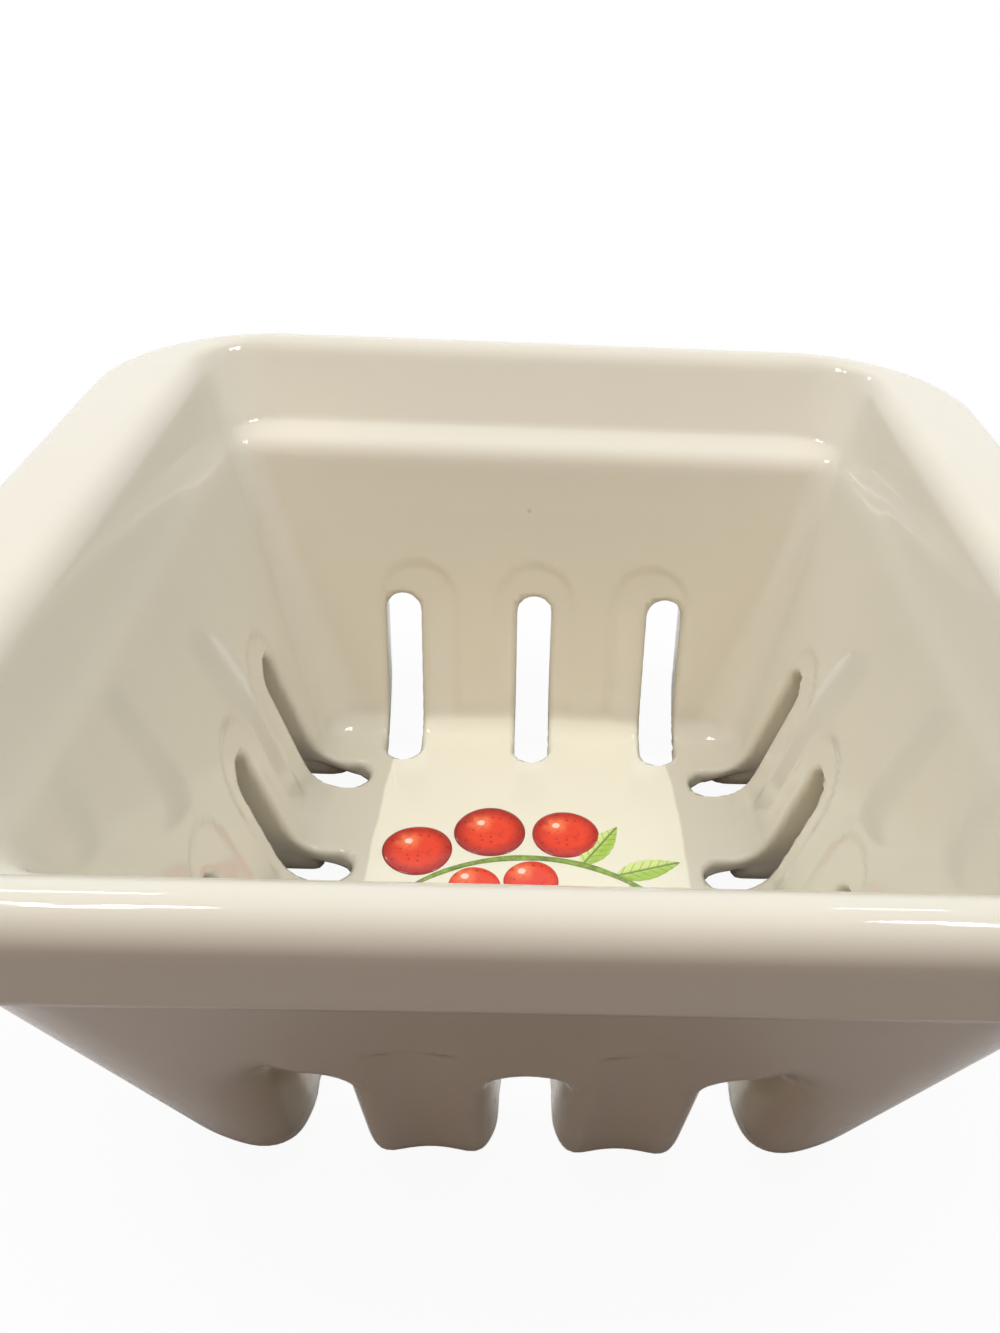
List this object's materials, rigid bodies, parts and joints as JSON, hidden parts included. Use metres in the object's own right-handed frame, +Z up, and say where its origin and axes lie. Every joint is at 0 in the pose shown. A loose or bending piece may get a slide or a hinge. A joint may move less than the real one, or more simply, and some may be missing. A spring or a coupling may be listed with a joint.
{
  "type": "berry colander bowl",
  "caption": "Square glazed ceramic berry bowl with a banded rim, drain slots that wrap from the walls into the floor, and a painted sprig inside.",
  "frame": {"origin": "centre of the bowl's footprint, on the surface that it stands on", "axes": "+Z up through the open top, the pictured front faces -Y, +X to its right"},
  "size_m": [0.14, 0.14, 0.069],
  "materials": {
    "glazed_ceramic": "glossy cream-white glaze",
    "enamel_red": "glossy fired enamel",
    "enamel_green": "glossy fired enamel",
    "enamel_green_dark": "glossy fired enamel"
  },
  "bodies": {
    "root": {"rim_front": "glazed_ceramic", "rim_right": "glazed_ceramic", "rim_back": "glazed_ceramic", "rim_left": "glazed_ceramic", "rim_corner_front_right": "glazed_ceramic", "rim_corner_back_right": "glazed_ceramic", "rim_corner_back_left": "glazed_ceramic", "rim_corner_front_left": "glazed_ceramic", "wall_front": "glazed_ceramic", "wall_right": "glazed_ceramic", "wall_back": "glazed_ceramic", "wall_left": "glazed_ceramic", "corner_front_right": "glazed_ceramic", "corner_back_right": "glazed_ceramic", "corner_back_left": "glazed_ceramic", "corner_front_left": "glazed_ceramic", "lobe_front_left": "glazed_ceramic", "lobe_front_right": "glazed_ceramic", "lobe_right_front": "glazed_ceramic", "lobe_right_back": "glazed_ceramic", "lobe_back_right": "glazed_ceramic", "lobe_back_left": "glazed_ceramic", "lobe_left_back": "glazed_ceramic", "lobe_left_front": "glazed_ceramic", "floor_panel": "glazed_ceramic", "enamel_stem": "enamel_green_dark", "enamel_leaves": "enamel_green", "enamel_berries": "enamel_red"}
  },
  "joints": []
}
